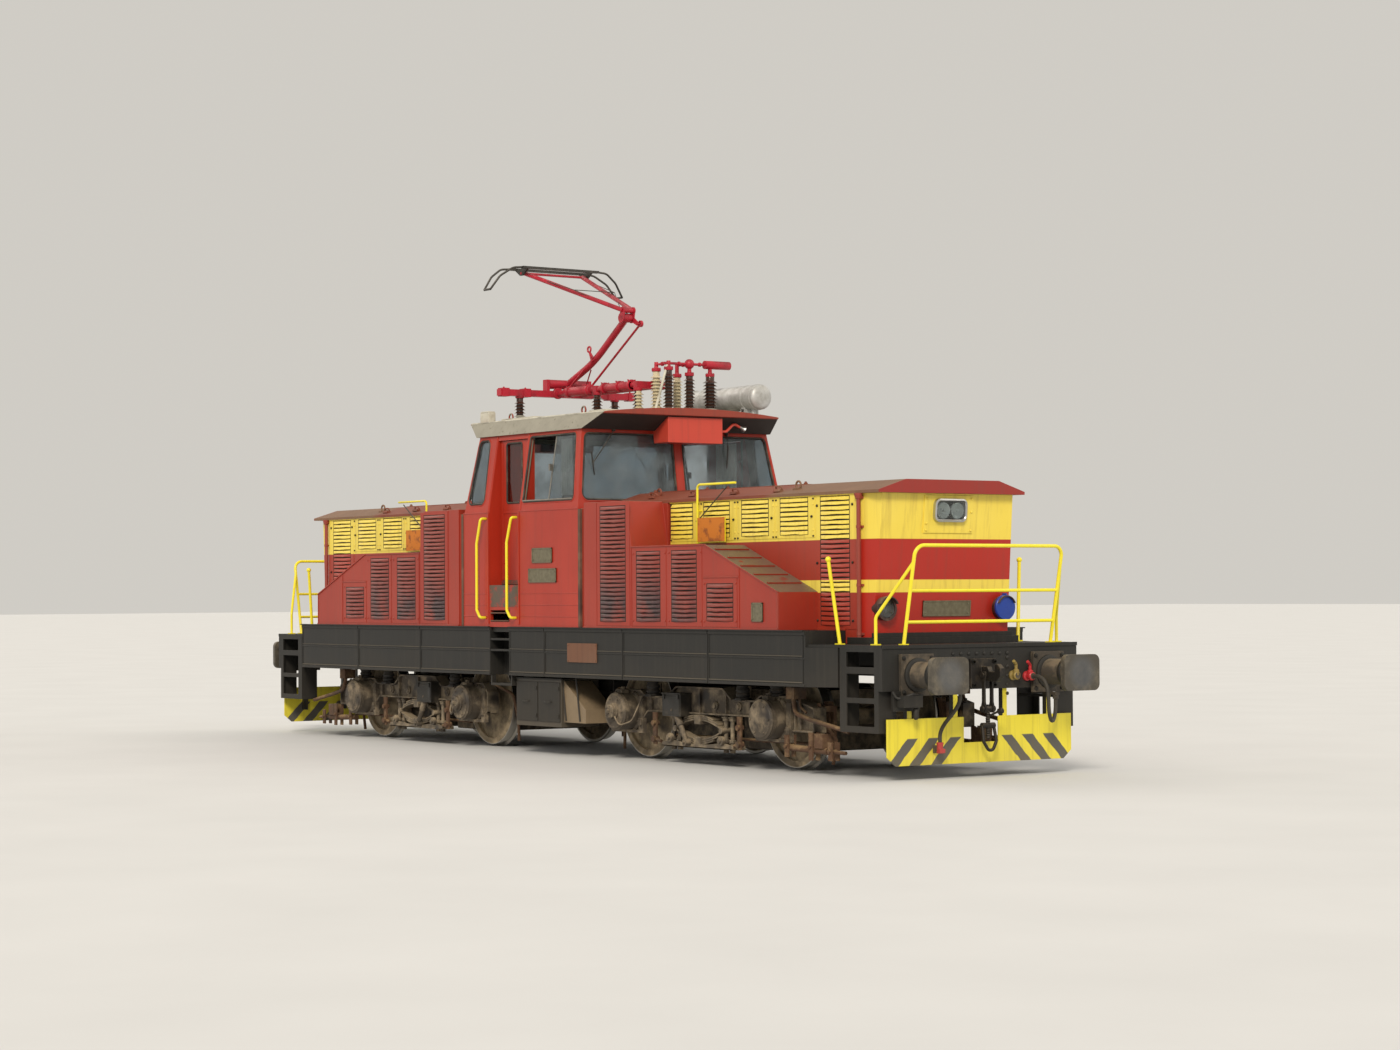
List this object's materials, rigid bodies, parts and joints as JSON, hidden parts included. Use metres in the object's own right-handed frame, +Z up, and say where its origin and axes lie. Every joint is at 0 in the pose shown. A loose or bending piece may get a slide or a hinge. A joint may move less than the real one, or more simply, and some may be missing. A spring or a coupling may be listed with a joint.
{
  "type": "electric locomotive",
  "caption": "Centre-cab electric shunting locomotive with low hoods, single-arm roof current collector and two-axle bogies.",
  "frame": {"origin": "on the floor under the middle of the locomotive, at the lowest point of the wheels", "axes": "+X along the track towards the front end, +Y to the far side, +Z up"},
  "size_m": [14.4, 3.124, 5.9749],
  "materials": {
    "body_paint": "satin",
    "yellow_paint": "satin",
    "frame_paint": "matte",
    "roof_paint": "matte",
    "grey_paint": "satin",
    "running_gear": "matte",
    "wheel_steel": "satin",
    "collector_paint": "satin",
    "insulator": "gloss",
    "bare_metal": "satin",
    "window_glass": "gloss",
    "lamp_glass": "gloss",
    "rubber": "matte",
    "cab_lining": "matte"
  },
  "bodies": {
    "locomotive": {"air_tank": "bare_metal", "box_louvres": "body_paint", "brake_hose_front_far": "rubber", "brake_hose_front_near": "rubber", "brake_hose_rear_far": "rubber", "brake_hose_rear_near": "rubber", "brake_hoses": "running_gear", "buffer_heads": "running_gear", "buffer_housings": "running_gear", "cab_glass": "window_glass", "cab_lower": "body_paint", "cab_roof": "grey_paint", "cab_upper": "body_paint", "control_desks": "cab_lining", "corner_steps": "frame_paint", "door_steps": "frame_paint", "drain_pipes": "body_paint", "draw_hooks": "running_gear", "driver_seats": "cab_lining", "end_beams": "frame_paint", "end_railings": "yellow_paint", "handrails": "yellow_paint", "headlights": "lamp_glass", "hood_louvres": "body_paint", "hood_roofs": "roof_paint", "hoods": "body_paint", "lower_lamps": "lamp_glass", "pantograph_base": "collector_paint", "ploughs": "yellow_paint", "roof_conductors": "collector_paint", "roof_insulators": "insulator", "screw_couplings": "running_gear", "side_boxes": "body_paint", "side_skirts": "frame_paint", "signal_frames": "yellow_paint", "tall_boxes": "body_paint", "transformer": "frame_paint", "underfloor_boxes": "frame_paint", "underframe": "frame_paint", "whistle_boxes": "body_paint"},
    "bogie_front": {"bogie_frame_front": "running_gear", "bogie_springs_front": "running_gear", "brake_gear_front": "running_gear", "traction_motors_front": "running_gear"},
    "bogie_rear": {"bogie_frame_rear": "running_gear", "bogie_springs_rear": "running_gear", "brake_gear_rear": "running_gear", "traction_motors_rear": "running_gear"},
    "door_far": {"cab_door_far": "body_paint"},
    "door_near": {"cab_door_near": "body_paint"},
    "collector": {"collector_head": "bare_metal"},
    "control_rod": {"pantograph_control_rod": "collector_paint"},
    "lower_arm": {"pantograph_lower_arm": "collector_paint"},
    "upper_arm": {"pantograph_upper_arm": "collector_paint"},
    "wheelset_front_inner": {"wheelset_front_inner": "wheel_steel"},
    "wheelset_front_outer": {"wheelset_front_outer": "wheel_steel"},
    "wheelset_rear_inner": {"wheelset_rear_inner": "wheel_steel"},
    "wheelset_rear_outer": {"wheelset_rear_outer": "wheel_steel"}
  },
  "joints": [
    {"name": "bogie_front_yaw", "type": "hinge", "parent": "locomotive", "child": "bogie_front", "pos_m": [3.15, 0, 0.73], "axis": [0, 0, 1], "range_deg": [-4, 4]},
    {"name": "wheels_front_outer_roll", "type": "hinge", "parent": "bogie_front", "child": "wheelset_front_outer", "pos_m": [4.55, 0, 0.553], "axis": [0, 1, 0], "continuous": true},
    {"name": "wheels_front_inner_roll", "type": "hinge", "parent": "bogie_front", "child": "wheelset_front_inner", "pos_m": [1.75, 0, 0.553], "axis": [0, 1, 0], "continuous": true},
    {"name": "bogie_rear_yaw", "type": "hinge", "parent": "locomotive", "child": "bogie_rear", "pos_m": [-3.15, 0, 0.73], "axis": [0, 0, 1], "range_deg": [-4, 4]},
    {"name": "wheels_rear_outer_roll", "type": "hinge", "parent": "bogie_rear", "child": "wheelset_rear_outer", "pos_m": [-4.55, 0, 0.553], "axis": [0, 1, 0], "continuous": true},
    {"name": "wheels_rear_inner_roll", "type": "hinge", "parent": "bogie_rear", "child": "wheelset_rear_inner", "pos_m": [-1.75, 0, 0.553], "axis": [0, 1, 0], "continuous": true},
    {"name": "door_near_swing", "type": "hinge", "parent": "locomotive", "child": "door_near", "pos_m": [-0.69, -1.244, 2], "axis": [0, 0, 1], "range_deg": [0, 85]},
    {"name": "door_far_swing", "type": "hinge", "parent": "locomotive", "child": "door_far", "pos_m": [0.69, 1.244, 2], "axis": [0, 0, 1], "range_deg": [0, 85]},
    {"name": "mast_lift", "type": "hinge", "parent": "locomotive", "child": "lower_arm", "pos_m": [-1.25, 0, 4.5], "axis": [0, 1, 0], "range_deg": [-15, 27]},
    {"name": "upper_arm_fold", "type": "hinge", "parent": "lower_arm", "child": "upper_arm", "pos_m": [0.1, 0, 5.23], "axis": [0, 1, 0], "range_deg": [-48.09, 26.85]},
    {"name": "collector_level", "type": "hinge", "parent": "upper_arm", "child": "collector", "pos_m": [-1.55, 0, 5.9], "axis": [0, 1, 0], "range_deg": [-11.85, 21.09]},
    {"name": "control_rod_swing", "type": "hinge", "parent": "locomotive", "child": "control_rod", "pos_m": [-0.913, 0.12, 4.441], "axis": [0, 1, 0], "range_deg": [-16.59, 29.62]}
  ],
  "couplings": [
    {"joint": "upper_arm_fold", "follows": "mast_lift", "ratio": -1.77},
    {"joint": "collector_level", "follows": "mast_lift", "ratio": 0.77},
    {"joint": "control_rod_swing", "follows": "mast_lift", "ratio": 1.086}
  ]
}
